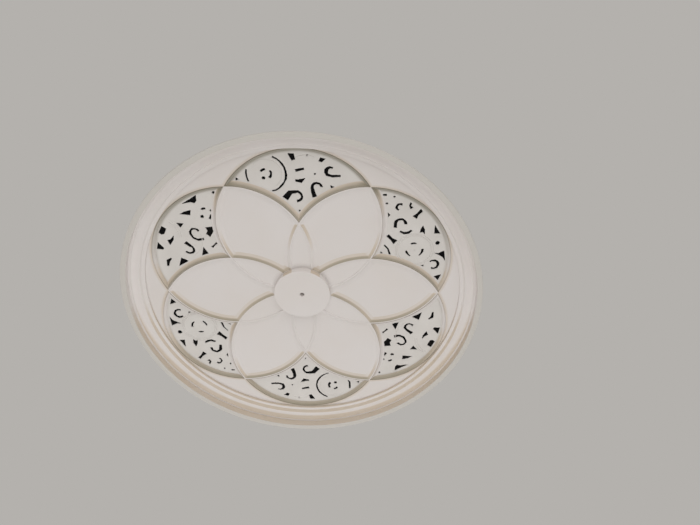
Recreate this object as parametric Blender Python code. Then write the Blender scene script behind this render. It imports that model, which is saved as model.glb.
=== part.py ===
# Ceiling rose: a dished plaster casting of six overlapping circles, with a pierced plate
# and a backing sheet laid in its back. It hangs face down: +Z is up, and the origin is the
# centre of the back, where the casting bears on the ceiling's timbers.

import math

import bmesh
import bpy
from mathutils import Vector

# Driving sizes of the tracery, in metres. A foil is one of the six overlapping circles
FOIL_RADIUS = 0.204
CREST_WIDTH = 0.0035
PETAL_RIM_WIDTH = 0.0125
FOIL_RIM_WIDTH = 0.0085
FIELD_SUNK = 0.0055
FIELD_COVE_WIDTH = 0.012
LENS_SUNK = 0.002
LENS_SLOPE = 0.0015
WEB_THICKNESS = 0.003

# Driving sizes of the ring of mouldings, from the foils outwards to the flange
LAND = 0.001
BAND_WIDTH = 0.009
BAND_RISE = 0.007
SPLAY_WIDTH = 0.0045
SPLAY_RISE = 0.0065
FLAT_WIDTH = 0.0095
COVE_WIDTH = 0.0125
COVE_RISE = 0.0065
LEDGE_WIDTH = 0.0055
LEDGE_DEPTH = 0.019
FLANGE_WIDTH = 0.014
FLANGE_THICKNESS = 0.005
WALL_THICKNESS = 0.0105

# Driving sizes of the boss and its cable hole
BOSS_RADIUS = 0.073
BOSS_RISE = 0.014
BOSS_EDGE = 0.0015
BOSS_ROOT = 0.0015
CABLE_HOLE_RADIUS = 0.006

# Driving sizes of the plates in the back
PLATE_LAP = 0.010
PLATE_CLEARANCE = 0.0005
BACK_RING_WIDTH = 0.021
FRET_THICKNESS = 0.002
SHEET_THICKNESS = 0.003
SHEET_SET_BACK = 0.0004
GAP = 0.0003

# How finely curves are divided, and how far a cutter runs past what it cuts
RING_STEPS = 60
FOIL_STEPS = 48
BOSS_STEPS = 36
HOLE_STEPS = 16
COVE_STEPS = 3
RIM_TURNS = (0, 35, 65, 90)
PETAL_COVE_TURNS = (0, 40, 90)
SHARP_ANGLE = 30
OVERCUT = 0.001

# The fret's pattern is drawn in units of which a foil's radius holds this many
PATTERN_FOIL_RADIUS = 204

# Depths, measured up from the flange's face
FLAT_DEPTH = LEDGE_DEPTH + COVE_RISE
BAND_DEPTH = FLAT_DEPTH + SPLAY_RISE
CREST_DEPTH = BAND_DEPTH + BAND_RISE
FIELD_DEPTH = CREST_DEPTH + FIELD_SUNK
SEAT_DEPTH = FIELD_DEPTH + WEB_THICKNESS
FRET_DEPTH = SEAT_DEPTH + GAP
SHEET_DEPTH = FRET_DEPTH + FRET_THICKNESS + GAP
BACK_DEPTH = SHEET_DEPTH + SHEET_THICKNESS + SHEET_SET_BACK

# Radii that follow from the driving sizes
TIP_RADIUS = math.sqrt(3) * FOIL_RADIUS
BAND_RADIUS = 2 * FOIL_RADIUS + LAND
SPLAY_RADIUS = BAND_RADIUS + BAND_WIDTH
FLAT_RADIUS = SPLAY_RADIUS + SPLAY_WIDTH
COVE_RADIUS = FLAT_RADIUS + FLAT_WIDTH
LEDGE_RADIUS = COVE_RADIUS + COVE_WIDTH
OPENING_RADIUS = LEDGE_RADIUS + LEDGE_WIDTH
PLATE_RADIUS = 2 * FOIL_RADIUS + PLATE_LAP
RECESS_RADIUS = PLATE_RADIUS + PLATE_CLEARANCE
HALF_CREST = CREST_WIDTH / 2

# A window has one long arc of a third of a foil, and every other arc is a sixth
SHORT_ARC_STEPS = FOIL_STEPS // 6
LONG_ARC_STEPS = 2 * SHORT_ARC_STEPS
PATTERN_UNIT = FOIL_RADIUS / PATTERN_FOIL_RADIUS


def height(depth):
    """World height of a depth measured up from the flange's face."""
    return depth - BACK_DEPTH


def material(name, colour, roughness):
    made = bpy.data.materials.new(name)
    made.use_nodes = True
    shader = made.node_tree.nodes["Principled BSDF"]
    shader.inputs["Base Color"].default_value = (*colour, 1.0)
    shader.inputs["Roughness"].default_value = roughness
    shader.inputs["Metallic"].default_value = 0.0
    return made


def add_object(name, bm, finish=None):
    """Turn a bmesh into an object in the scene. Without a finish it is a cutter."""
    bmesh.ops.recalc_face_normals(bm, faces=bm.faces)
    mesh = bpy.data.meshes.new(name)
    bm.to_mesh(mesh)
    bm.free()
    made = bpy.data.objects.new(name, mesh)
    bpy.context.scene.collection.objects.link(made)
    if finish:
        mesh.materials.append(finish)
        mesh.shade_smooth()
        mesh.set_sharp_from_angle(angle=math.radians(SHARP_ANGLE))
    else:
        made.hide_render = True
        made.display_type = "WIRE"
    return made


def turned(profile, steps):
    """Spin a profile of (radius, depth) points, open at the axis, into a closed solid."""
    bm = bmesh.new()
    points = [bm.verts.new((radius, 0.0, height(depth))) for radius, depth in profile]
    edges = [bm.edges.new(pair) for pair in zip(points, points[1:])]
    bmesh.ops.spin(bm, geom=points + edges, cent=(0, 0, 0), axis=(0, 0, 1), angle=math.tau,
                   steps=steps, use_merge=True, use_duplicate=False)
    bmesh.ops.remove_doubles(bm, verts=bm.verts, dist=0.00001)
    return bm


def loft(bm, levels):
    """Close a stack of (outline, depth) levels, all with as many points, into a solid."""
    rings = [[bm.verts.new((x, y, height(depth))) for x, y in outline] for outline, depth in levels]
    for lower, upper in zip(rings, rings[1:]):
        for i, vertex in enumerate(lower):
            j = (i + 1) % len(lower)
            bm.faces.new((vertex, lower[j], upper[j], upper[i]))
    bm.faces.new(rings[0])
    bm.faces.new(rings[-1])


def cut(target, cutter, operation="DIFFERENCE"):
    modifier = target.modifiers.new(cutter.name, "BOOLEAN")
    modifier.operation = operation
    modifier.solver = "EXACT"
    modifier.object = cutter


def polar(angle, distance):
    turn = math.radians(angle)
    return Vector((math.cos(turn), math.sin(turn))) * distance


def foil(angle, grow):
    """Circle of the tracery: its centre stands a foil's radius from the middle."""
    return polar(angle, FOIL_RADIUS), FOIL_RADIUS + grow


def crossing(first, second, guide):
    """The point where two circles cross, of the two the one nearer to the guide point."""
    (centre, radius), (other, reach) = first, second
    span = other - centre
    along = (span.length_squared + radius ** 2 - reach ** 2) / (2 * span.length)
    across = math.sqrt(radius ** 2 - along ** 2)
    foot = centre + span.normalized() * along
    side = Vector((-span.y, span.x)).normalized() * across
    return min((foot + side, foot - side), key=lambda point: (point - guide).length)


def outline(circles, guides, arc_steps):
    """Follow the circles round. Circle i runs from guide i's corner to the next corner."""
    corners = [crossing(circles[i - 1], circles[i], guide) for i, guide in enumerate(guides)]
    points = []
    for i, ((centre, radius), steps) in enumerate(zip(circles, arc_steps)):
        start = corners[i] - centre
        finish = corners[(i + 1) % len(corners)] - centre
        begin = math.atan2(start.y, start.x)
        sweep = math.remainder(math.atan2(finish.y, finish.x) - begin, math.tau)
        for k in range(steps):
            turn = begin + sweep * k / steps
            points.append((centre.x + radius * math.cos(turn), centre.y + radius * math.sin(turn)))
    return points


def window_outline(angle, foil_inset, rim_out):
    """Between a foil's outer arc and the edges of the two petals below it."""
    circles = [foil(angle, -foil_inset), foil(angle + 60, rim_out), foil(angle - 60, rim_out)]
    guides = [polar(angle - 30, TIP_RADIUS), polar(angle + 30, TIP_RADIUS),
              polar(angle, FOIL_RADIUS)]
    return outline(circles, guides, (LONG_ARC_STEPS, SHORT_ARC_STEPS, SHORT_ARC_STEPS))


def petal_outline(angle, inset):
    """Between two foils that cross at the tip and the two small lenses beside it."""
    circles = [foil(angle + 30, -inset), foil(angle - 90, inset),
               foil(angle + 90, inset), foil(angle - 30, -inset)]
    guides = [polar(angle, TIP_RADIUS), polar(angle - 30, FOIL_RADIUS),
              polar(angle, BOSS_RADIUS), polar(angle + 30, FOIL_RADIUS)]
    return outline(circles, guides, [SHORT_ARC_STEPS] * len(circles))


def lens_outline(angle, inset):
    """The small lens where two foils overlap, from the middle to a window's inner corner."""
    circles = [foil(angle - 60, -inset), foil(angle + 60, -inset)]
    guides = [polar(angle, FOIL_RADIUS), Vector((0, 0))]
    return outline(circles, guides, [SHORT_ARC_STEPS] * len(circles))


def window_levels(angle):
    """A small step off the crest, then a rounded rim that is steep at its foot."""
    drop = SEAT_DEPTH - CREST_DEPTH
    levels = [(window_outline(angle, 0.0, HALF_CREST), CREST_DEPTH - OVERCUT)]
    for turn in RIM_TURNS:
        across, down = math.sin(math.radians(turn)), 1 - math.cos(math.radians(turn))
        ring = window_outline(angle, FOIL_RIM_WIDTH * across, HALF_CREST + PETAL_RIM_WIDTH * across)
        levels.append((ring, CREST_DEPTH + drop * down))
    levels.append((ring, SEAT_DEPTH + OVERCUT))
    return levels


def petal_levels(angle):
    """A steep edge under the crest that runs out in a wide cove to the sunk field."""
    levels = [(petal_outline(angle, HALF_CREST), CREST_DEPTH - OVERCUT)]
    for turn in PETAL_COVE_TURNS:
        across, down = 1 - math.cos(math.radians(turn)), math.sin(math.radians(turn))
        levels.append((petal_outline(angle, HALF_CREST + FIELD_COVE_WIDTH * across),
                       CREST_DEPTH + FIELD_SUNK * down))
    return levels


def lens_levels(angle):
    return [(lens_outline(angle, HALF_CREST), CREST_DEPTH - OVERCUT),
            (lens_outline(angle, HALF_CREST), CREST_DEPTH),
            (lens_outline(angle, HALF_CREST + LENS_SLOPE), CREST_DEPTH + LENS_SUNK)]


def ring_profile():
    """From the axis out over the mouldings, round the flange and back across the back."""
    points = [(0.0, CREST_DEPTH), (BAND_RADIUS, CREST_DEPTH), (BAND_RADIUS, BAND_DEPTH),
              (SPLAY_RADIUS, BAND_DEPTH), (FLAT_RADIUS, FLAT_DEPTH)]
    for k in range(COVE_STEPS + 1):
        turn = math.pi / 2 * k / COVE_STEPS
        points.append((COVE_RADIUS + COVE_WIDTH * math.sin(turn),
                       LEDGE_DEPTH + COVE_RISE * math.cos(turn)))
    return points + [
        (OPENING_RADIUS, LEDGE_DEPTH), (OPENING_RADIUS, 0.0),
        (OPENING_RADIUS + FLANGE_WIDTH, 0.0), (OPENING_RADIUS + FLANGE_WIDTH, FLANGE_THICKNESS),
        (OPENING_RADIUS + WALL_THICKNESS, FLANGE_THICKNESS),
        (RECESS_RADIUS + BACK_RING_WIDTH, BACK_DEPTH), (RECESS_RADIUS, BACK_DEPTH),
        (RECESS_RADIUS, SEAT_DEPTH), (0.0, SEAT_DEPTH)]


def arc(x, y, radius, start, sweep, steps):
    turns = [math.radians(start + sweep * k / steps) for k in range(steps + 1)]
    return [Vector((x + radius * math.cos(t), y + radius * math.sin(t))) for t in turns]


def path(*places):
    return [Vector(place) for place in places]


def slot(spine, *widths):
    """Outline of a slot along a spine. Its width runs evenly through the widths given."""
    left, right = [], []
    for i, point in enumerate(spine):
        before, after = spine[max(i - 1, 0)], spine[min(i + 1, len(spine) - 1)]
        run = (after - before).normalized()
        share = i / (len(spine) - 1) * (len(widths) - 1)
        k = min(int(share), len(widths) - 2)
        half = (widths[k] + (widths[k + 1] - widths[k]) * (share - k)) / 2
        left.append(point + Vector((-run.y, run.x)) * half)
        right.append(point - Vector((-run.y, run.x)) * half)
    return left + right[::-1]


def dot(x, y, radius, sides=6):
    return arc(x, y, radius, 0, 360 * (sides - 1) / sides, sides - 1)


def front_window():
    """Piercings of the window on -Y, seen from below: a large rosette, hooks and scrolls."""
    rosette = (-74, 336)
    return [
        slot(arc(*rosette, 48, -74, 142, 12), 2.6, 3.6, 3.6, 3.2),
        slot(arc(*rosette, 47.5, 167, 38, 4), 3.0, 3.6, 2.6),
        slot(arc(*rosette, 13, -52, 92, 4), 5.5, 4, 4.5),
        slot(arc(*rosette, 13, 95, 55, 3), 4, 6, 4.5),
        dot(-80, 325, 4),
        path((-19, 389), (-6, 389), (-2, 375), (-10, 372)),
        dot(27, 385, 2.5),
        path((58, 379), (70, 375), (61, 367), (53, 370)),
        slot(path((-3, 345), (5, 347), (17, 350)), 7, 6, 4.5),
        path((-5, 322), (3, 321), (20, 325), (10, 312), (-3, 316)),
        dot(44, 336, 2),
        slot(arc(81, 342, 11.5, 65, 155, 5) + path((84, 330.5), (104, 331.5)), 3.5, 4, 8, 8, 6, 4),
        slot(path((-31, 270), (-18, 287)) + arc(-3, 276, 13, 100, -190, 7), 15, 7, 5, 4.5, 4.5, 6),
        slot(arc(47, 301, 11.5, 0, 185, 6) + path((37, 287), (41, 274)), 5, 4.5, 5.5, 7, 11),
        dot(-145, 322, 4.5, 3),
        path((80, 305), (89, 302), (81, 298)),
        dot(3, 236, 2.5),
    ]


def right_window():
    """Piercings of the window on +X -Y: a rosette under scrolls, wedges and a round hole."""
    rosette = (288, 125)
    return [
        slot(path((207, 281), (215, 281)), 3, 4.5),
        dot(234, 276, 2),
        dot(216, 258, 2.5),
        path((219, 233), (224, 226), (220, 220)),
        slot(arc(249, 247, 9, 60, 185, 6), 5.5, 4, 4, 3.5),
        slot(path((275, 259), (272, 251), (277, 245)), 4.5, 3.5, 6.5),
        slot(path((302, 239), (293, 229), (285, 219)), 8, 5, 12),
        slot(arc(251, 201, 13, -5, 180, 7) + path((238, 190)), 6.5, 4.5, 5, 6, 6.5),
        slot(path((250, 179), (261, 174), (271, 176), (279, 182)), 4.5, 6, 6.5, 4),
        path((307, 197), (312, 184), (312, 171), (306, 177), (299, 175), (302, 187)),
        path((336, 198), (350, 174), (336, 174)),
        dot(345, 146, 5.5, 10),
        slot(path((219, 167), (229, 157), (240, 148)), 8, 7, 14),
        slot(arc(*rosette, 20, 76, 40, 3), 1.5, 4.5, 2.5),
        slot(arc(*rosette, 20.5, 187, 50, 3), 2.5, 4.5, 2),
        slot(arc(*rosette, 20.5, 8, -58, 3), 4.5, 4, 2),
        slot(path((212, 139), (221, 127), (226, 111)), 2, 3, 5),
        dot(204, 116, 3.5, 3),
        path((337, 117), (350, 116), (363, 124), (367, 93), (360, 105), (350, 111)),
        slot(arc(338, 82, 12.5, 140, -250, 8), 3, 5.5, 5.5, 4.5, 5),
        path((306, 77), (312, 81), (312, 75)),
        path((342, 45), (359, 52), (352, 34)),
    ]


def left_window():
    """Piercings of the window on -X -Y: wedges, a star, and two scrolls."""
    rosette = (-230, 228)
    return [
        dot(-205, 285, 3),
        path((-249, 277), (-250, 263), (-254, 256), (-265, 258), (-287, 254), (-268, 265)),
        path((-268, 236), (-270, 222), (-296, 224), (-284, 231)),
        slot(arc(*rosette, 14, 90, 45, 2), 4, 6, 4),
        dot(-240, 218, 4.5, 5),
        dot(-217, 236, 2.5, 4),
        slot(path((-218, 223), (-222, 212)), 3, 6),
        path((-308, 200), (-289, 199), (-298, 186)),
        path((-346, 190), (-336, 183), (-343, 167), (-350, 166), (-356, 171)),
        path((-235, 187), (-219, 189), (-217, 175), (-227, 160), (-236, 168), (-231, 177)),
        path((-320, 163), (-322, 151), (-331, 135), (-337, 149), (-328, 152)),
        slot(arc(-265, 172, 11.5, 20, 180, 6) + path((-270, 157), (-258, 151), (-244, 154)),
             5.5, 4, 3.5, 4, 5.5, 7),
        slot(path((-292, 143)) + arc(-284, 122, 11.5, 75, -225, 7), 9, 4.5, 6, 5, 3.5, 5),
        path((-363, 144), (-349, 126), (-351, 122), (-367, 122)),
        slot(path((-212, 142), (-218, 137), (-225, 129)), 5, 2.5, 5),
        path((-247, 130), (-237, 111), (-254, 105)),
        slot(path((-335, 94), (-343, 88), (-346, 71)), 3, 7, 4),
        path((-309, 97), (-290, 87), (-316, 72)),
    ]


def pierce(target):
    """Cut the three windows' pattern, and cut it again half a turn round the middle.

    The pattern is drawn as it is seen from below, so its upward direction is -Y.
    """
    bm = bmesh.new()
    for hole in front_window() + right_window() + left_window():
        for side in (PATTERN_UNIT, -PATTERN_UNIT):
            ring = [(point.x * side, -point.y * side) for point in map(Vector, hole)]
            loft(bm, [(ring, FRET_DEPTH - OVERCUT), (ring, FRET_DEPTH + FRET_THICKNESS + OVERCUT)])
    cut(target, add_object("piercings", bm))


def disc(bm, radius, steps, depth, thickness):
    ring = [polar(360 * k / steps, radius) for k in range(steps)]
    loft(bm, [(ring, depth), (ring, depth + thickness)])
    return bm


def cable_hole():
    """One straight hole up the middle of every piece."""
    return add_object("cable_hole", disc(bmesh.new(), CABLE_HOLE_RADIUS, HOLE_STEPS,
                                         CREST_DEPTH - BOSS_RISE - OVERCUT,
                                         BACK_DEPTH - CREST_DEPTH + BOSS_RISE + 2 * OVERCUT))


def boss():
    """A round boss with a rounded edge, rooted in the web behind the petals."""
    face = CREST_DEPTH - BOSS_RISE
    root = SEAT_DEPTH - BOSS_ROOT
    return turned([(0.0, face), (BOSS_RADIUS - BOSS_EDGE, face), (BOSS_RADIUS, face + BOSS_EDGE),
                   (BOSS_RADIUS, root), (0.0, root)], BOSS_STEPS)


def rose_body(hole):
    plaster = material("plaster", (0.60, 0.56, 0.53), 0.85)
    body = add_object("rose_body", turned(ring_profile(), RING_STEPS), plaster)
    recesses = bmesh.new()
    for k in range(6):
        loft(recesses, window_levels(30 + 60 * k))
        loft(recesses, petal_levels(60 * k))
    cut(body, add_object("recesses", recesses))
    lenses = bmesh.new()
    for k in range(6):
        loft(lenses, lens_levels(30 + 60 * k))
    cut(body, add_object("lenses", lenses))
    cut(body, add_object("boss", boss()), "UNION")
    cut(body, hole)


def fret_plate(hole):
    painted = material("painted_sheet", (0.58, 0.57, 0.52), 0.7)
    plate = add_object("fret_plate", disc(bmesh.new(), PLATE_RADIUS, RING_STEPS,
                                          FRET_DEPTH, FRET_THICKNESS), painted)
    pierce(plate)
    cut(plate, hole)


def backing_sheet(hole):
    black = material("black_board", (0.012, 0.012, 0.013), 0.9)
    sheet = add_object("backing_sheet", disc(bmesh.new(), PLATE_RADIUS, RING_STEPS,
                                             SHEET_DEPTH, SHEET_THICKNESS), black)
    cut(sheet, hole)


def main():
    for old in list(bpy.data.objects):
        bpy.data.objects.remove(old)
    hole = cable_hole()
    rose_body(hole)
    fret_plate(hole)
    backing_sheet(hole)


main()
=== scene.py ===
# %% [markdown]
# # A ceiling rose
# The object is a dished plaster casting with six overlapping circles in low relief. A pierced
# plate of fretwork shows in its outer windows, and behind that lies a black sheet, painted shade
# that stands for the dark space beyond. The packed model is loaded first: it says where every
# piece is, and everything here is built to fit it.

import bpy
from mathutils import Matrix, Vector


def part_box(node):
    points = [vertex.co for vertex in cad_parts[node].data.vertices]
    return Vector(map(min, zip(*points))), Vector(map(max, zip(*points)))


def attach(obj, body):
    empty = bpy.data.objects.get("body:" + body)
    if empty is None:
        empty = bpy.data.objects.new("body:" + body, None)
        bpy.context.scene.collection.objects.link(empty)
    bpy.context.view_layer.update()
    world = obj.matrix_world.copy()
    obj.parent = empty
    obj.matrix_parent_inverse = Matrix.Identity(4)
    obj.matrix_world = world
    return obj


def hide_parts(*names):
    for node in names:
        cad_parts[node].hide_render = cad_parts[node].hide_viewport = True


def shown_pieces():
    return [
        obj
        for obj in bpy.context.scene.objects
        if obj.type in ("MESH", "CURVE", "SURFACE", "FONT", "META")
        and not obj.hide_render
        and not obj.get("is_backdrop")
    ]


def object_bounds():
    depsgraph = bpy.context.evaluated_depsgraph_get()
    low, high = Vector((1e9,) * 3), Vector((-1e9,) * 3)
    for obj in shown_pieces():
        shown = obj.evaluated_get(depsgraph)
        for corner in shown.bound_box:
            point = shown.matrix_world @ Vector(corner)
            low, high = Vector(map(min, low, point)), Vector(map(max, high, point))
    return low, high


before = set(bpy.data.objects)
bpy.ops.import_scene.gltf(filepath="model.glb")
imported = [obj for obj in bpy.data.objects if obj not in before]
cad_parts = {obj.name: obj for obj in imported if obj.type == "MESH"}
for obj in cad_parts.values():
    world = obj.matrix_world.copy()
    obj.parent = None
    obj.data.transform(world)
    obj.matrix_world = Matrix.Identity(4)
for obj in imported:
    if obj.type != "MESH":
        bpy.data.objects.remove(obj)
cad_low, cad_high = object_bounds()
print("The frame runs from", tuple(cad_low), "to", tuple(cad_high))

# %% [markdown]
# ## The camera
# A photograph has a focal length in pixels. Blender wants it in millimetres of a sensor, so it
# is scaled by the sensor's width over the picture's. The camera stands under the near side of
# the rose and looks steeply up. It comes first, because it fixes what has to be right.

# %% Camera
import bpy
from mathutils import Euler, Matrix, Vector
import math

PICTURE_WIDTH = 700
FOCAL_PIXELS = 728.1
SENSOR_WIDTH = 36.0
CAMERA_PLACE = (0.1714, -1.1010, -1.5705)
CAMERA_TURN = (147.031, -1.422, 0.430)

camera_data = bpy.data.cameras.new("camera")
camera_data.sensor_width = SENSOR_WIDTH
camera_data.lens = FOCAL_PIXELS * SENSOR_WIDTH / PICTURE_WIDTH
camera = bpy.data.objects.new("camera", camera_data)
camera.location = CAMERA_PLACE
camera.rotation_euler = Euler([math.radians(angle) for angle in CAMERA_TURN])
bpy.context.scene.collection.objects.link(camera)
bpy.context.scene.camera = camera
print("Lens:", round(camera_data.lens, 2), "mm")

# %% [markdown]
# ## The sizes of the casting
# A plasterer sets out such a rose with compasses: six circles, each through the middle of the
# rose. Every line of the flower is an arc of one of them. So one radius drives the tracery, and
# the ring of mouldings around it is a stack of widths and rises. Depths are measured up from
# the flange's face, and the frame says where that face is.

# %% Sizes
FOIL_RADIUS = 0.204
CREST_WIDTH = 0.0035
PETAL_RIM_WIDTH = 0.0125
FOIL_RIM_WIDTH = 0.0085
RIM_SUNK = 0.0012
FIELD_SUNK = 0.0055
LENS_SUNK = 0.002
WEB_THICKNESS = 0.003
LAND_WIDTH = 0.001
BAND_WIDTH = 0.009
BAND_RISE = 0.007
SPLAY_WIDTH = 0.0045
SPLAY_RISE = 0.0065
FLAT_WIDTH = 0.0095
COVE_WIDTH = 0.0125
COVE_RISE = 0.0065
LEDGE_WIDTH = 0.0055
LEDGE_DEPTH = 0.019
FLANGE_THICKNESS = 0.005
WALL_THICKNESS = 0.0105
BACK_RING_WIDTH = 0.021
PLATE_CLEARANCE = 0.0005
BOSS_RADIUS = 0.073
BOSS_RISE = 0.014
CABLE_HOLE_RADIUS = 0.006
SOFT_CORNER = 0.0009
CREST_CORNER = 0.0005
OVERCUT = 0.001
MERGE = 0.00001

face_height, back_height = cad_low.z, cad_high.z
flange_radius = cad_high.x
plate_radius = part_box("fret_plate")[1].x
back_depth = back_height - face_height
flat_depth = LEDGE_DEPTH + COVE_RISE
band_depth = flat_depth + SPLAY_RISE
crest_depth = band_depth + BAND_RISE
field_depth = crest_depth + FIELD_SUNK
seat_depth = field_depth + WEB_THICKNESS
band_radius = 2 * FOIL_RADIUS + LAND_WIDTH
splay_radius = band_radius + BAND_WIDTH
flat_radius = splay_radius + SPLAY_WIDTH
cove_radius = flat_radius + FLAT_WIDTH
ledge_radius = cove_radius + COVE_WIDTH
opening_radius = ledge_radius + LEDGE_WIDTH
recess_radius = plate_radius + PLATE_CLEARANCE
tip_radius = math.sqrt(3) * FOIL_RADIUS
half_crest = CREST_WIDTH / 2
print("Opening", round(opening_radius * 2, 4), "m across, flange", round(flange_radius * 2, 4))

# %% [markdown]
# ## Small helpers
# A bmesh is Blender's mesh for editing. These few functions turn one into an object, bake an
# object's modifiers into its mesh, and cut one object with another.

# %% Helpers for meshes
import bmesh

AXIS = (0, 0, 1)


def height(depth):
    """World height of a depth measured up from the flange's face."""
    return face_height + depth


def add_object(name, bm):
    """A new object in the scene from a bmesh, which is used up."""
    mesh = bpy.data.meshes.new(name)
    bm.to_mesh(mesh)
    bm.free()
    made = bpy.data.objects.new(name, mesh)
    bpy.context.scene.collection.objects.link(made)
    return made


def settle(piece):
    """Bake the modifiers of an object into its mesh."""
    bpy.context.view_layer.update()
    evaluated = piece.evaluated_get(bpy.context.evaluated_depsgraph_get())
    piece.data = bpy.data.meshes.new_from_object(evaluated)
    piece.modifiers.clear()


def cut(target, cutter, operation="DIFFERENCE"):
    """Cut with a closed shape, or join it, and throw the shape away."""
    modifier = target.modifiers.new(cutter.name, "BOOLEAN")
    modifier.operation = operation
    modifier.solver = "EXACT"
    modifier.object = cutter
    settle(target)
    bpy.data.objects.remove(cutter)
    print(target.name, "now has", len(target.data.polygons), "faces")


# %% [markdown]
# ## The ring of mouldings
# A real one is run with a zinc template that turns about a nail in the middle. Blender's spin
# is that template: a profile is drawn as a chain of edges, its corners are rounded with a
# vertex bevel, because cast plaster under paint has no sharp corner, and it is spun once round.

# %% Ring profile and spin
RING_STEPS = 180
COVE_STEPS = 9
CORNER_STEPS = 3


def turned(corners, soft, steps):
    """Spin (radius, depth) corners into a closed solid. Corners named in soft are rounded."""
    bm = bmesh.new()
    chain = [bm.verts.new((radius, 0.0, height(depth))) for radius, depth in corners]
    for one, following in zip(chain, chain[1:]):
        bm.edges.new((one, following))
    bmesh.ops.bevel(bm, geom=[chain[i] for i in soft], offset=SOFT_CORNER, profile=0.5,
                    segments=CORNER_STEPS, affect="VERTICES", material=-1)
    bmesh.ops.spin(bm, geom=bm.verts[:] + bm.edges[:], cent=(0, 0, 0), axis=AXIS,
                   angle=math.tau, steps=steps, use_merge=True)
    bmesh.ops.remove_doubles(bm, verts=bm.verts, dist=MERGE)
    flats = [face for face in bm.faces if any(vert.co.xy.length < MERGE for vert in face.verts)]
    for side in (-1, 1):
        disc = [face for face in flats if face.is_valid and side * face.normal.z > 0]
        bmesh.ops.dissolve_faces(bm, faces=disc)
    bmesh.ops.recalc_face_normals(bm, faces=bm.faces)
    return bm


front = [(0.0, crest_depth), (band_radius, crest_depth), (band_radius, band_depth),
         (splay_radius, band_depth), (flat_radius, flat_depth)]
cove = []
for k in range(COVE_STEPS + 1):
    turn = math.pi / 2 * k / COVE_STEPS
    cove.append((cove_radius + COVE_WIDTH * math.sin(turn),
                 LEDGE_DEPTH + COVE_RISE * math.cos(turn)))
rear = [(opening_radius, LEDGE_DEPTH), (opening_radius, 0.0), (flange_radius, 0.0),
        (flange_radius, FLANGE_THICKNESS), (opening_radius + WALL_THICKNESS, FLANGE_THICKNESS),
        (recess_radius + BACK_RING_WIDTH, back_depth), (recess_radius, back_depth),
        (recess_radius, seat_depth), (0.0, seat_depth)]
profile = front + cove + rear
cove_middle = range(len(front) + 1, len(front) + COVE_STEPS)
rounded = [i for i in range(2, len(profile) - 2) if i not in cove_middle]
casting = add_object("rose_casting", turned(profile, rounded, RING_STEPS))
print("The ring has", len(casting.data.polygons), "faces before it is cut")

# %% [markdown]
# ## Setting out the tracery
# Each opening is bounded by arcs of the six circles, moved in or out a little. The corners are
# where two moved circles cross. A vertex turned about a circle's centre gives an arc, and the
# arcs of one outline are joined end to end.

# %% Outlines from arcs
FOIL_STEPS = 144
SIXTH = FOIL_STEPS // 6
BOSS_ARC_STEPS = 6
BOSS_GUIDE_ANGLE = 10


def polar(angle, distance):
    """The point at this angle, in degrees, and distance from the middle of the rose."""
    turn = math.radians(angle)
    return Vector((math.cos(turn), math.sin(turn))) * distance


def foil(angle, grow):
    """A circle of the tracery, as its centre and its radius."""
    return polar(angle, FOIL_RADIUS), FOIL_RADIUS + grow


def crossing(first, second, guide):
    """The point where two circles cross, of the two the one nearer to the guide point."""
    (centre, radius), (other, reach) = first, second
    span = other - centre
    along = (span.length_squared + radius ** 2 - reach ** 2) / (2 * span.length)
    across = math.sqrt(radius ** 2 - along ** 2)
    foot = centre + span.normalized() * along
    side = span.orthogonal().normalized() * across
    return min((foot + side, foot - side), key=lambda point: (point - guide).length)


def outline(circles, guides, arc_steps):
    """Follow the circles round. Circle i runs from guide i's corner to the next corner."""
    corners = [crossing(circles[i - 1], circles[i], guide) for i, guide in enumerate(guides)]
    points = []
    for i, ((centre, radius), steps) in enumerate(zip(circles, arc_steps)):
        start = corners[i] - centre
        sweep = -start.angle_signed(corners[(i + 1) % len(corners)] - centre)
        for k in range(steps):
            points.append(centre + Matrix.Rotation(sweep * k / steps, 2) @ start)
    return points


def window_outline(angle, foil_inset, rim_out):
    """Between a foil's outer arc and the edges of the two petals below it."""
    circles = [foil(angle, -foil_inset), foil(angle + 60, rim_out), foil(angle - 60, rim_out)]
    guides = [polar(angle - 30, tip_radius), polar(angle + 30, tip_radius),
              polar(angle, FOIL_RADIUS)]
    return outline(circles, guides, (2 * SIXTH, SIXTH, SIXTH))


def petal_outline(angle, inset):
    """Between two foils that cross at the tip, the two small lenses beside it, and the boss."""
    around_boss = (Vector((0, 0)), BOSS_RADIUS + inset)
    circles = [foil(angle + 30, -inset), foil(angle - 90, inset), around_boss,
               foil(angle + 90, inset), foil(angle - 30, -inset)]
    guides = [polar(angle, tip_radius), polar(angle - 30, FOIL_RADIUS),
              polar(angle - BOSS_GUIDE_ANGLE, BOSS_RADIUS),
              polar(angle + BOSS_GUIDE_ANGLE, BOSS_RADIUS), polar(angle + 30, FOIL_RADIUS)]
    return outline(circles, guides, (SIXTH, SIXTH, BOSS_ARC_STEPS, SIXTH, SIXTH))


def lens_outline(angle, inset):
    """The small lens where two foils overlap, from the middle to a window's inner corner."""
    circles = [foil(angle - 60, -inset), foil(angle + 60, -inset)]
    guides = [polar(angle, FOIL_RADIUS), Vector((0, 0))]
    return outline(circles, guides, (SIXTH, SIXTH))


print("A window's outline has", len(window_outline(90, 0, 0)), "points")

# %% [markdown]
# ## Carving by levels
# A recess is cut with a plug that has its shape. The plug grows level by level: its ring of
# edges is extruded, and the new ring is moved to the next outline and depth. That is how a
# moulding's section, such as a cove or a rounded rim, follows an outline that isn't a circle.

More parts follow.
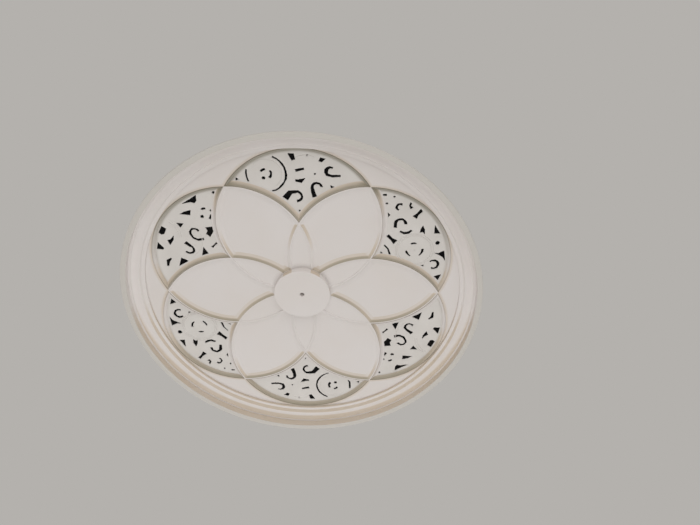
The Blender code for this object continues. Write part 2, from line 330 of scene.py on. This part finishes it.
# %% Plugs by extrusion
def grow_plug(bm, levels):
    """Extrude a ring of edges through (outline, depth) levels, and close both ends."""
    points, depth = levels[0]
    ring = [bm.verts.new((*point, height(depth))) for point in points]
    edges = [bm.edges.new(pair) for pair in zip(ring, ring[1:] + ring[:1])]
    bmesh.ops.contextual_create(bm, geom=edges)
    for points, depth in levels[1:]:
        made = bmesh.ops.extrude_edge_only(bm, edges=edges)["geom"]
        fresh = {part for part in made if isinstance(part, bmesh.types.BMVert)}
        ring = [next(edge.other_vert(vert) for edge in vert.link_edges
                     if edge.other_vert(vert) in fresh) for vert in ring]
        for vert, point in zip(ring, points):
            vert.co = (*point, height(depth))
        edges = [bm.edges.get(pair) for pair in zip(ring, ring[1:] + ring[:1])]
    bmesh.ops.contextual_create(bm, geom=edges)


def plugs(name, shapes):
    """One cutter of several plugs that stay clear of each other."""
    bm = bmesh.new()
    for levels in shapes:
        grow_plug(bm, levels)
    bmesh.ops.recalc_face_normals(bm, faces=bm.faces)
    print(name, "have", len(bm.faces), "faces")
    return add_object(name, bm)


# %% [markdown]
# ## Windows, petals and lenses
# Seen close, the crest between two recesses is a flat ribbon with soft edges. On a window's
# side comes a quirk, which is a moulder's word for a narrow groove. It sets off a wide rim. The
# rim rounds over along the outer arc, and runs out in a hollow along the petals.
# On a petal's side a slope folds into a gentler one. The lenses are sunk only a little,
# with a fine groove beside the crest. A section is a list of insets, each with how far it lies
# below the crest.

# %% Sections of the recesses
EDGE_FLARE, EDGE_DROP = 0.4, 0.2
QUIRK_WIDTH = 0.002
QUIRK = [(0.0003, 0.0020), (0.0008, 0.0026), (0.0014, 0.0021), (QUIRK_WIDTH, RIM_SUNK)]
RIM_LEVELS = 9
RIM_ROUNDING = 0.7
PETAL_SLOPE = [(0.0054, 0.00374), (0.0060, 0.0041), (0.0069, 0.0043), (0.01425, 0.0054),
               (0.0150, FIELD_SUNK)]
LENS_GROOVE = [(0.0005, 0.0014), (0.0010, 0.0018), (0.0016, 0.0014), (0.0030, 0.0015),
               (0.0070, LENS_SUNK)]

soft_edge = [(-CREST_CORNER - OVERCUT * EDGE_FLARE, -OVERCUT),
             (-CREST_CORNER * EDGE_FLARE, CREST_CORNER * EDGE_DROP), (0.0, CREST_CORNER)]


def window_section():
    """(inset at the foil, inset at the petals, depth below the crest) down to the fret."""
    section = [(inset, inset, sunk) for inset, sunk in soft_edge + QUIRK]
    drop = seat_depth - crest_depth - RIM_SUNK
    for k in range(1, RIM_LEVELS + 1):
        share = k / RIM_LEVELS
        down = 1 - (1 - share) ** 2
        section.append((QUIRK_WIDTH + (FOIL_RIM_WIDTH - QUIRK_WIDTH) * down ** RIM_ROUNDING,
                        QUIRK_WIDTH + (PETAL_RIM_WIDTH - QUIRK_WIDTH) * share,
                        RIM_SUNK + drop * down))
    foil_foot, petal_foot, sunk = section[-1]
    return section + [(foil_foot, petal_foot, sunk + OVERCUT)]


windows, petals, lenses = [], [], []
for k in range(6):
    windows.append([(window_outline(30 + 60 * k, at_foil, half_crest + at_petal),
                     crest_depth + sunk) for at_foil, at_petal, sunk in window_section()])
    petals.append([(petal_outline(60 * k, half_crest + inset), crest_depth + sunk)
                   for inset, sunk in soft_edge + PETAL_SLOPE])
    lenses.append([(lens_outline(30 + 60 * k, half_crest + inset), crest_depth + sunk)
                   for inset, sunk in soft_edge + LENS_GROOVE])
cut(casting, plugs("windows_and_petals", windows + petals))
cut(casting, plugs("lenses", lenses))

# %% [markdown]
# ## The boss
# The round boss in the middle is a plain turned block with soft edges, with a hole up through
# it. It stands on the web behind the petals, so it is joined to the casting.

# %% Boss and cable hole
BOSS_STEPS = 120
BOSS_ROOT = 0.0015
HOLE_STEPS = 48

boss_face = crest_depth - BOSS_RISE
boss_profile = [(0.0, boss_face), (BOSS_RADIUS, boss_face), (BOSS_RADIUS, seat_depth - BOSS_ROOT),
                (0.0, seat_depth - BOSS_ROOT)]
cut(casting, add_object("boss", turned(boss_profile, [1], BOSS_STEPS)), "UNION")


def cable_hole():
    """A straight plug up the middle, longer than what it goes through."""
    bm = bmesh.new()
    middle = height((boss_face + back_depth) / 2)
    bmesh.ops.create_cone(bm, cap_ends=True, segments=HOLE_STEPS, radius1=CABLE_HOLE_RADIUS,
                          radius2=CABLE_HOLE_RADIUS, depth=back_depth,
                          matrix=Matrix.Translation((0, 0, middle)))
    return add_object("cable_hole", bm)


cut(casting, cable_hole())

# %% [markdown]
# ## Smooth shading
# The mesh is smooth-shaded, with edges over a set angle kept sharp. A Weighted Normal modifier
# then gives the large flat faces the say over the narrow rounded ones, so flats stay flat in
# the light and only the corners are soft.

# %% Shading
SHARP_ANGLE = 40


def shade(piece):
    """Shade an object smooth, with its sharp edges kept and its flats flat."""
    piece.data.shade_smooth()
    piece.data.set_sharp_from_angle(angle=math.radians(SHARP_ANGLE))
    weighted = piece.modifiers.new("flats", "WEIGHTED_NORMAL")
    weighted.keep_sharp = True


shade(casting)

# %% [markdown]
# ## The cuts of the fretwork
# The plate's cuts were sawn by hand and then dulled by coats of paint, so their edges are a
# little ragged. The plate of the frame has the cuts, and the walls of those cuts are copied:
# each is a tube. Its rims are divided, and the tube is nudged sideways by noise, which has a
# seed so that it is the same each time. Its faces look into the hole, so they are reversed to
# look out of the plug, and both ends are filled.

# %% Plugs with ragged sides
from mathutils import noise

RAGGED = 0.0016
RAGGED_SIZE = 0.0045
RAGGED_SEED = 4
WIDEN = 0.0008
RIM_CUTS = 3
LEVEL_NORMAL = 0.9

fret_front, fret_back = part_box("fret_plate")[0].z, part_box("fret_plate")[1].z
fret_middle = (fret_front + fret_back) / 2


def is_uncut(face):
    """The plate's two flat sides and its outer edge, so all but the walls of the cuts."""
    is_level = abs(face.normal.z) > LEVEL_NORMAL
    return is_level or face.calc_center_median().xy.length > 2 * FOIL_RADIUS


def nudge(vert):
    """How far a wall moves: outwards by a set width, and by noise. The cable hole stays."""
    if vert.co.xy.length < 2 * CABLE_HOLE_RADIUS:
        return Vector((0, 0))
    wobble = noise.noise_vector(Vector((*vert.co.xy, 0)) / RAGGED_SIZE).xy
    return -vert.normal.xy.normalized() * WIDEN + wobble * RAGGED


noise.seed_set(RAGGED_SEED)
tubes = bmesh.new()
tubes.from_mesh(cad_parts["fret_plate"].data)
bmesh.ops.remove_doubles(tubes, verts=tubes.verts, dist=MERGE)
bmesh.ops.delete(tubes, geom=[face for face in tubes.faces if is_uncut(face)], context="FACES")
rims = [edge for edge in tubes.edges if edge.is_boundary]
bmesh.ops.subdivide_edges(tubes, edges=rims, cuts=RIM_CUTS)
tubes.normal_update()
for vert in tubes.verts:
    vert.co.xy += nudge(vert)
    vert.co.z += OVERCUT if vert.co.z > fret_middle else -OVERCUT
bmesh.ops.reverse_faces(tubes, faces=tubes.faces)
bmesh.ops.holes_fill(tubes, edges=[edge for edge in tubes.edges if edge.is_boundary], sides=0)
print("The walls of the cuts make plugs with", len(tubes.faces), "faces")

# %% [markdown]
# ## The plate of the fretwork
# The plugs cut a fresh round plate. Its flat sides then have over a hundred holes each, and
# faces with holes are easily split badly later on, so all is split into triangles here.

# %% Plate
PLATE_STEPS = 180

disc = bmesh.new()
bmesh.ops.create_cone(disc, cap_ends=True, segments=PLATE_STEPS, radius1=plate_radius,
                      radius2=plate_radius, depth=fret_back - fret_front,
                      matrix=Matrix.Translation((0, 0, fret_middle)))
fret = add_object("fret_sheet", disc)
cut(fret, add_object("cuts", tubes))

plate = bmesh.new()
plate.from_mesh(fret.data)
bmesh.ops.triangulate(plate, faces=plate.faces)
print("The plate has", len(plate.faces), "triangles")

# %% [markdown]
# ## Raised lines on the fretwork
# Some of the fretwork's circles stand out as low rounded ridges. A ridge is a small circle of
# vertices, pressed flat and spun about the centre of its arc. The whole pattern turns into
# itself after half a turn, so each ridge is made twice. Places are read from below, so what
# is up in the picture is -Y. Lengths are in millimetres and angles in degrees.

# %% Ridges
MM = 0.001
RIDGE_SINK = 0.0003
RIDGE_SIDES = 10
RIDGE_STEP_ANGLE = 6
RIDGES = [(288, 125, 42.5, 0, 360, 2.4, 1.5), (288, 125, 47.5, 0, 360, 2.4, 1.5),
          (288, 125, 0.8, 0, 360, 1.8, 1.1), (-74, 336, 38, -60, 200, 1.6, 1.0),
          (22, 338, 47, 62, 60, 1.6, 1.0), (-360, 160, 54, 0, 60, 1.8, 1.1),
          (-360, 160, 60, 0, 55, 1.8, 1.1), (-300, 150, 52, -60, 80, 1.6, 1.0)]


def ridge(bm, x, y, radius, start, sweep, width, rise):
    """A ridge along an arc round a centre, from a start angle, with a width and a rise."""
    for unit in (MM, -MM):
        centre = Vector((x * unit, -y * unit, fret_front + RIDGE_SINK))
        half_turn = math.pi if unit < 0 else 0.0
        out = Matrix.Rotation(half_turn - math.radians(start), 4, "Z")
        flat = Matrix.Diagonal((width / 2, 1.0, rise, 1.0))
        stand = Matrix.Rotation(math.radians(90), 4, "X")
        place = (Matrix.Translation(centre) @ out
                 @ Matrix.Translation((radius * MM, 0, 0)) @ flat @ stand)
        ring = bmesh.ops.create_circle(bm, segments=RIDGE_SIDES, radius=MM, matrix=place)
        edges = {edge for vert in ring["verts"] for edge in vert.link_edges}
        whole = sweep >= 360
        ends = [] if whole else [bm.faces.new(ring["verts"])]
        bmesh.ops.spin(bm, geom=ends if ends else ring["verts"] + list(edges), cent=centre,
                       axis=AXIS, angle=-math.radians(sweep),
                       steps=round(sweep / RIDGE_STEP_ANGLE), use_merge=whole)


ridges = bmesh.new()
for row in RIDGES:
    ridge(ridges, *row)
bmesh.ops.recalc_face_normals(ridges, faces=ridges.faces)
ridge_mesh = bpy.data.meshes.new("ridges")
ridges.to_mesh(ridge_mesh)
ridges.free()
print("The ridges have", len(ridge_mesh.polygons), "faces")

plate.from_mesh(ridge_mesh)
plate.to_mesh(fret.data)
plate.free()
bpy.data.meshes.remove(ridge_mesh)
shade(fret)

# %% [markdown]
# ## Colours and nodes
# Colours are chosen as sRGB hex values, as on a paint chart, and a shader wants them linear.
# One small function adds a node, sets its properties, fills or links its sockets, and gives
# back the output that the next node needs.

# %% Helpers for materials
def from_hex(code):
    """Turn an sRGB hex colour into linear red, green, blue and alpha."""
    parts = [int(code[i:i + 2], 16) / 255 for i in (1, 3, 5)]
    linear = [c / 12.92 if c <= 0.04045 else ((c + 0.055) / 1.055) ** 2.4 for c in parts]
    return (*linear, 1.0)


def add(tree, kind, sockets=(), out=0, **settings):
    """Add a node and return one output. Sockets are (name or number, value or output) pairs."""
    made = tree.nodes.new(kind)
    for name, value in settings.items():
        setattr(made, name, value)
    for socket, value in sockets:
        if isinstance(value, bpy.types.NodeSocket):
            tree.links.new(value, made.inputs[socket])
        else:
            made.inputs[socket].default_value = value
    return made.outputs[out]


def new_material(name):
    """A material with its tree, its shader, and the place on the object that is painted."""
    made = bpy.data.materials.new(name)
    made.use_nodes = True
    tree = made.node_tree
    return made, tree, tree.nodes["Principled BSDF"], add(tree, "ShaderNodeTexCoord", out="Object")


def per_mm(size):
    """Texture scale at which a pattern's features are this many millimetres wide."""
    return 1000 / size


print("White paint is", from_hex("#ffffff"))

# %% [markdown]
# ## Distance from the tracery
# Painted shade, dark and warm, lies along the foot of every moulding. So the paint's nodes work
# out how far a point is from the nearest of the six circles: the distance to a circle's centre,
# less its radius, and the least of the six. It is the same sum that set out the mesh, so the
# painted shade always follows the carving. Counting the circles around a point tells a window from
# a petal.

# %% Nearest circle
def tracery(tree, place):
    """Three outputs for a point: its distance from the nearest circle, how many circles it is
    inside of (none on the land, one in a window, two or three in a petal or a lens), and its
    distance from the middle of the rose. Distances are in metres."""
    flat = add(tree, "ShaderNodeVectorMath", [(0, place), (1, (1, 1, 0))], operation="MULTIPLY")
    nearest = inside = None
    for k in range(6):
        centre = (*polar(30 + 60 * k, FOIL_RADIUS), 0)
        away = add(tree, "ShaderNodeVectorMath", [(0, flat), (1, centre)], out="Value",
                   operation="DISTANCE")
        off = add(tree, "ShaderNodeMath", [(0, away), (1, FOIL_RADIUS)], operation="SUBTRACT")
        off = add(tree, "ShaderNodeMath", [(0, off)], operation="ABSOLUTE")
        within = add(tree, "ShaderNodeMath", [(0, away), (1, FOIL_RADIUS)], operation="LESS_THAN")
        if nearest:
            off = add(tree, "ShaderNodeMath", [(0, nearest), (1, off)], operation="MINIMUM")
            within = add(tree, "ShaderNodeMath", [(0, inside), (1, within)], operation="ADD")
        nearest, inside = off, within
    from_middle = add(tree, "ShaderNodeVectorMath", [(0, flat)], out="Value", operation="LENGTH")
    return nearest, inside, from_middle


# %% [markdown]
# ## Where the painted shade lies
# A Map Range node turns a distance into an amount: sockets 1 and 2 say from where to where, 3 and
# 4 what it becomes there, and it is held beyond. Amounts are multiplied where both must hold, and
# the larger is taken where either will do. The windows' outer rims get painted shadow on the -Y
# side of the rose, and the flower's relief gets more painted shade than the ring of mouldings
# around it.

# %% Masks for parts of the rose
RIM_SIDE = (-0.26, -0.06)
RIM_TIP_REACH = 0.02
RELIEF_EDGE = (0.0015, 0.0005)


def near_rims(tree, place, from_middle):
    """1 along the outermost arcs on the -Y side of the rose, and 0 elsewhere."""
    across = add(tree, "ShaderNodeSeparateXYZ", [(0, place)], out="Y")
    near = add(tree, "ShaderNodeMapRange", [
        (0, across), (1, RIM_SIDE[0]), (2, RIM_SIDE[1]), (3, 1.0), (4, 0.0)])
    outermost = add(tree, "ShaderNodeMapRange", [
        (0, from_middle), (1, tip_radius - RIM_TIP_REACH), (2, tip_radius)])
    return add(tree, "ShaderNodeMath", [(0, near), (1, outermost)], operation="MULTIPLY")


def in_relief(tree, place):
    """1 at the crests' height and behind it, and 0 in front of it."""
    first, last = [height(crest_depth - rise) for rise in RELIEF_EDGE]
    level = add(tree, "ShaderNodeSeparateXYZ", [(0, place)], out="Z")
    return add(tree, "ShaderNodeMapRange", [(0, level), (1, first), (2, last)])


# %% [markdown]
# ## Warm painted shade
# The slopes that face -Y are painted a warm buff as shade, so the surface's normal drives it. The
# land outside the tracery has a halo of the same painted shade beside the circles. The lenses,
# which are almost level, stay free of it, and so does the back.

# %% Warm painted shade on the casting
HALO_REACH, HALO_SHARE = 0.009, 0.55
GENTLE_FACING, GENTLE_SHARE = (-0.05, -0.2), 0.7
FRONT_NORMAL = 0.1


def warm_painted_shade(tree, place, nearest, inside, normal):
    """The amount of warm painted shade at a point, from 0 to 1."""
    on_land = add(tree, "ShaderNodeMath", [(0, inside), (1, 0.5)], operation="LESS_THAN")
    halo = add(tree, "ShaderNodeMapRange", [
        (0, nearest), (1, 0.0), (2, HALO_REACH), (3, HALO_SHARE), (4, 0.0)],
        interpolation_type="SMOOTHSTEP")
    for mask in (on_land, in_relief(tree, place)):
        halo = add(tree, "ShaderNodeMath", [(0, halo), (1, mask)], operation="MULTIPLY")
    facing = add(tree, "ShaderNodeSeparateXYZ", [(0, normal)], out="Y")
    gentle = add(tree, "ShaderNodeMapRange", [
        (0, facing), (1, GENTLE_FACING[0]), (2, GENTLE_FACING[1]), (3, 0.0), (4, GENTLE_SHARE)])
    warm_shade = add(tree, "ShaderNodeMath", [(0, gentle), (1, halo)], operation="MAXIMUM")
    upward = add(tree, "ShaderNodeSeparateXYZ", [(0, normal)], out="Z")
    in_front = add(tree, "ShaderNodeMath", [(0, upward), (1, FRONT_NORMAL)],
                   operation="LESS_THAN")
    off_lens = add(tree, "ShaderNodeMath", [(0, inside), (1, 2.5)], operation="LESS_THAN")
    for mask in (in_front, off_lens):
        warm_shade = add(tree, "ShaderNodeMath", [(0, warm_shade), (1, mask)], operation="MULTIPLY")
    return warm_shade


# %% [markdown]
# ## Dark painted shade
# This painted shade is darker than the warm one. It lies on the steep slopes that face -Y, most of
# all close to a crest, in the grooves of the windows, and, as painted shadow, on the rounded outer
# rims on the -Y side.

# %% Dark painted shade on the casting
STEEP_FACING, STEEP_SHARE = (-0.2, -0.5), 0.6
STEEP_FADE, STEEP_LEFT = (0.004, 0.010), 0.25
GROOVE_REACH, GROOVE_SHARE = 0.0035, 0.35
CREST_EDGE = (half_crest * 0.9, half_crest * 1.3)
RIM_FADE, RIM_SHARE = (0.006, 0.013), 0.75


def dark_painted_shade(tree, place, nearest, inside, from_middle, normal):
    """The amount of dark painted shade at a point, from 0 to 1."""
    in_window = add(tree, "ShaderNodeMath", [(0, inside), (1, 1.0), (2, 0.5)],
                    operation="COMPARE")
    off_lens = add(tree, "ShaderNodeMath", [(0, inside), (1, 2.5)], operation="LESS_THAN")
    facing = add(tree, "ShaderNodeSeparateXYZ", [(0, normal)], out="Y")
    steep = add(tree, "ShaderNodeMapRange", [
        (0, facing), (1, STEEP_FACING[0]), (2, STEEP_FACING[1]), (3, 0.0), (4, STEEP_SHARE)])
    by_crest = add(tree, "ShaderNodeMapRange", [
        (0, nearest), (1, STEEP_FADE[0]), (2, STEEP_FADE[1]), (3, 1.0), (4, STEEP_LEFT)],
        interpolation_type="SMOOTHSTEP")
    groove = add(tree, "ShaderNodeMapRange", [
        (0, nearest), (1, half_crest), (2, GROOVE_REACH), (3, GROOVE_SHARE), (4, 0.0)])
    off_crest = add(tree, "ShaderNodeMapRange", [
        (0, nearest), (1, CREST_EDGE[0]), (2, CREST_EDGE[1])])
    rim = add(tree, "ShaderNodeMapRange", [
        (0, nearest), (1, RIM_FADE[0]), (2, RIM_FADE[1]), (3, RIM_SHARE), (4, 0.0)],
        interpolation_type="SMOOTHSTEP")
    at_rims = near_rims(tree, place, from_middle)
    dark_shade = 0.0
    for amount, masks in ((groove, (off_crest, in_window)), (rim, (at_rims, in_window)),
                          (steep, (by_crest, off_lens))):
        for mask in masks:
            amount = add(tree, "ShaderNodeMath", [(0, amount), (1, mask)], operation="MULTIPLY")
        dark_shade = add(tree, "ShaderNodeMath", [(0, dark_shade), (1, amount)], operation="MAXIMUM")
    return add(tree, "ShaderNodeMath", [(0, dark_shade), (1, in_relief(tree, place))],
               operation="MULTIPLY")


# %% [markdown]
# ## Old distemper on plaster
# Distemper is chalk bound with glue size: matt, soft and slightly uneven. It is painted a warm
# buff where there is painted shade and in soft clouds at random, and darker olive where the
# painted shade is deep. A real one scatters light like paper, so it is rough, with hardly any
# gloss. Noise of three sizes does the rest: cloudy patches, the drag of a brush, and grit in the
# bump. Real grit is finer than a pixel, so it is drawn coarser than it is. The flange has a plain
# grey coat of its own. Noise mostly lies in the middle of its range, so that middle is spread out.

# %% Distemper
DISTEMPER = "#dfdbda"
WARM_SHADE_AND_CLOUD = "#cbbca8"
SHADE_OLIVE = "#878371"
FLANGE_GREY = "#cbc8c3"
CLOUD_MM, BRUSH_MM, GRIT_MM = 160, 9, 1.8
CLOUD_SPREAD, CLOUD_SHARE = (0.3, 0.7), 0.12
BRUSHED_ROUGHNESS = (0.8, 0.95)


def distemper():
    made, tree, shader, place = new_material("distemper_on_plaster")
    nearest, inside, from_middle = tracery(tree, place)
    normal = add(tree, "ShaderNodeNewGeometry", out="Normal")
    warm_shade = warm_painted_shade(tree, place, nearest, inside, normal)
    dark_shade = dark_painted_shade(tree, place, nearest, inside, from_middle, normal)
    cloud = add(tree, "ShaderNodeTexNoise", [(0, place), ("Scale", per_mm(CLOUD_MM)),
                                             ("Detail", 3.0)])
    cloudy = add(tree, "ShaderNodeMapRange", [
        (0, cloud), (1, CLOUD_SPREAD[0]), (2, CLOUD_SPREAD[1]), (3, 0.0), (4, CLOUD_SHARE)])
    warm_shade_and_cloud = add(tree, "ShaderNodeMath", [(0, warm_shade), (1, cloudy)], operation="ADD")
    # Warm painted shade, with random clouds, is mixed into the paint.
    base = add(tree, "ShaderNodeMix", [
        (0, warm_shade_and_cloud), (6, from_hex(DISTEMPER)), (7, from_hex(WARM_SHADE_AND_CLOUD))],
        out=2, data_type="RGBA")
    # Olive painted shade darkens the paint in grooves, on -Y slopes and by the -Y rims.
    shaded_and_patchy = add(tree, "ShaderNodeMix", [(0, dark_shade), (6, base), (7, from_hex(SHADE_OLIVE))],
                out=2, data_type="RGBA")
    on_flange = add(tree, "ShaderNodeMath", [(0, from_middle), (1, opening_radius)],
                    operation="GREATER_THAN")
    colour = add(tree, "ShaderNodeMix", [(0, on_flange), (6, shaded_and_patchy), (7, from_hex(FLANGE_GREY))],
                 out=2, data_type="RGBA")
    tree.links.new(colour, shader.inputs["Base Color"])
    brush = add(tree, "ShaderNodeTexNoise", [(0, place), ("Scale", per_mm(BRUSH_MM)),
                                             ("Detail", 4.0)])
    dull = add(tree, "ShaderNodeMapRange", [
        (0, brush), (3, BRUSHED_ROUGHNESS[0]), (4, BRUSHED_ROUGHNESS[1])])
    tree.links.new(dull, shader.inputs["Roughness"])
    shader.inputs["Specular IOR Level"].default_value = 0.25
    grit = add(tree, "ShaderNodeTexNoise", [(0, place), ("Scale", per_mm(GRIT_MM))])
    drag = add(tree, "ShaderNodeBump", [("Height", brush), ("Strength", 0.25),
                                        ("Distance", 0.0006)])
    fine = add(tree, "ShaderNodeBump", [("Height", grit), ("Strength", 0.3),
                                        ("Distance", 0.0002), ("Normal", drag)])
    tree.links.new(fine, shader.inputs["Normal"])
    return made


# %% [markdown]
# ## Thick paint on the fretwork
# The plate has had many coats too, but it is sheet metal, so the paint is smoother and greyer.
# Painted shadow darkens it along the rims of the casting, most of all on the -Y side, and it has
# darker blotches at random. The marks of bristles are drawn coarser than real ones, so that they
# show.

# %% Fret paint
FRET_PAINT = "#dbd8d5"
FRET_SHADE_AND_BLOTCH = "#8d8677"
BLOTCH_MM, BRISTLE_MM = 70, 3
BLOTCH_SPREAD, BLOTCH_SHARE = (0.35, 0.7), 0.1
FRET_SHADOW_FADE = (0.007, 0.016)
FAR_SHARE, NEAR_SHARE = 0.2, 0.75


def fret_paint():
    made, tree, shader, place = new_material("paint_on_sheet_metal")
    nearest, _, from_middle = tracery(tree, place)
    blotch = add(tree, "ShaderNodeTexNoise", [(0, place), ("Scale", per_mm(BLOTCH_MM)),
                                              ("Detail", 3.0)])
    blotchy = add(tree, "ShaderNodeMapRange", [
        (0, blotch), (1, BLOTCH_SPREAD[0]), (2, BLOTCH_SPREAD[1]), (3, 0.0), (4, BLOTCH_SHARE)])
    # Painted shadow on the plate beside the casting's rims, deeper on the -Y side.
    by_rim = add(tree, "ShaderNodeMapRange", [
        (0, nearest), (1, FRET_SHADOW_FADE[0]), (2, FRET_SHADOW_FADE[1]), (3, 1.0), (4, 0.0)],
        interpolation_type="SMOOTHSTEP")
    share = add(tree, "ShaderNodeMapRange", [
        (0, near_rims(tree, place, from_middle)), (3, FAR_SHARE), (4, NEAR_SHARE)])
    by_rim = add(tree, "ShaderNodeMath", [(0, by_rim), (1, share)], operation="MULTIPLY")
    shaded_and_patchy = add(tree, "ShaderNodeMath", [(0, by_rim), (1, blotchy)], operation="ADD")
    colour = add(tree, "ShaderNodeMix", [
        (0, shaded_and_patchy), (6, from_hex(FRET_PAINT)), (7, from_hex(FRET_SHADE_AND_BLOTCH))], out=2, data_type="RGBA")
    tree.links.new(colour, shader.inputs["Base Color"])
    shader.inputs["Roughness"].default_value = 0.7
    shader.inputs["Specular IOR Level"].default_value = 0.35
    bristle = add(tree, "ShaderNodeTexNoise", [(0, place), ("Scale", per_mm(BRISTLE_MM)),
                                               ("Detail", 3.0)])
    relief = add(tree, "ShaderNodeBump", [("Height", bristle), ("Strength", 0.35),
                                          ("Distance", 0.0004)])
    tree.links.new(relief, shader.inputs["Normal"])
    return made


# %% [markdown]
# ## Black painted shade behind the cuts
# What shows through the cuts is the dark of the space behind them. A sheet painted black stands in
# for that shade, with a faint cloud of paler grey and no gloss.

# %% Black sheet of painted shade
SHADE_BLACK = "#0b0b0d"
PALER_SHADE = "#1d1c1a"
SHADE_CLOUD_MM = 35
SHADE_CLOUD_SPREAD = (0.45, 0.75)


def painted_void_shade():
    # Black painted shade, for the dark space behind the cuts.
    made, tree, shader, place = new_material("painted_void_shade")
    shade_cloud = add(tree, "ShaderNodeTexNoise", [(0, place), ("Scale", per_mm(SHADE_CLOUD_MM)),
                                            ("Detail", 5.0)])
    paler_share = add(tree, "ShaderNodeMapRange", [
        (0, shade_cloud), (1, SHADE_CLOUD_SPREAD[0]), (2, SHADE_CLOUD_SPREAD[1])])
    colour = add(tree, "ShaderNodeMix", [
        (0, paler_share), (6, from_hex(SHADE_BLACK)), (7, from_hex(PALER_SHADE))], out=2, data_type="RGBA")
    tree.links.new(colour, shader.inputs["Base Color"])
    shader.inputs["Roughness"].default_value = 0.95
    shader.inputs["Specular IOR Level"].default_value = 0.1
    return made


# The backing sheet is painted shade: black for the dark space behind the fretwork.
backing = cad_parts["backing_sheet"]
for piece, finish in ((casting, distemper()), (fret, fret_paint()),
                      (backing, painted_void_shade())):
    piece.data.materials.clear()
    piece.data.materials.append(finish)
print("Materials:", sorted(material.name for material in bpy.data.materials))

# %% [markdown]
# ## Joining the pieces to the frame
# The casting and the plate ride on the one body of this object, and each stands for the node that
# it replaces.

# %% Ride and replace
for piece, node, slot in ((casting, "rose_body", "painted_plaster"),
                          (fret, "fret_plate", "painted_fret")):
    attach(piece, "root")
    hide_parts(node)

# %% [markdown]
# ## Light
# What hangs face down gets its light from below: daylight falls on the floor and comes up again,
# and pale walls return it too. So the light is soft, and the painted shade in the paint shows more
# than the lamps' own shade does.
# The world is light all round, and a little darker overhead. One broad light is the bright part
# of the floor, towards +Y, and another is a pale wall towards -Y. Each has a place, a size in
# metres and a power in watts. A pale floor lies under the rose.

# %% World, lights and floor
OVERHEAD_GREY = "#b4b1ad"
WALL_GREY = "#d8d4d0"
FLOOR_GREY = "#d0cdc8"
HORIZON_BLUR = 0.06
LIGHTS = {"daylit_floor": ((-0.1, 0.8, -2.2), 2.6, 37.0),
          "pale_wall": ((0.5, -2.6, -1.5), 2.2, 31.0)}
FLOOR_DROP = 2.4
FLOOR_SIZE = 12.0

scene = bpy.context.scene
scene.view_settings.view_transform = "Standard"
world = bpy.data.worlds.new("room")
world.use_nodes = True
sky = world.node_tree
way = add(sky, "ShaderNodeTexCoord", out="Generated")
up = add(sky, "ShaderNodeSeparateXYZ", [(0, way)], out="Z")
overhead = add(sky, "ShaderNodeMapRange", [(0, up), (1, -HORIZON_BLUR), (2, 0.0)])
room = add(sky, "ShaderNodeMix", [
    (0, overhead), (6, from_hex(WALL_GREY)), (7, from_hex(OVERHEAD_GREY))],
    out=2, data_type="RGBA")
sky.links.new(room, sky.nodes["Background"].inputs["Color"])
scene.world = world

for name, (place, size, power) in LIGHTS.items():
    light_data = bpy.data.lights.new(name, "AREA")
    light_data.size = size
    light_data.energy = power
    light = bpy.data.objects.new(name, light_data)
    light.location = place
    light.rotation_euler = (-Vector(place)).to_track_quat("-Z", "Y").to_euler()
    scene.collection.objects.link(light)
print("Lights:", list(LIGHTS))

ground = bmesh.new()
bmesh.ops.create_grid(ground, x_segments=1, y_segments=1, size=FLOOR_SIZE / 2,
                      matrix=Matrix.Translation((0, 0, -FLOOR_DROP)))
floor = add_object("floor", ground)
floor_material, _, floor_shader, _ = new_material("pale_floor")
floor_shader.inputs["Base Color"].default_value = from_hex(FLOOR_GREY)
floor_shader.inputs["Roughness"].default_value = 0.9
floor.data.materials.append(floor_material)
floor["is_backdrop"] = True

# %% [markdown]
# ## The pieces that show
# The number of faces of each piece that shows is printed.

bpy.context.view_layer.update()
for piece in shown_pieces():
    print(piece.name, len(piece.data.polygons), "faces")
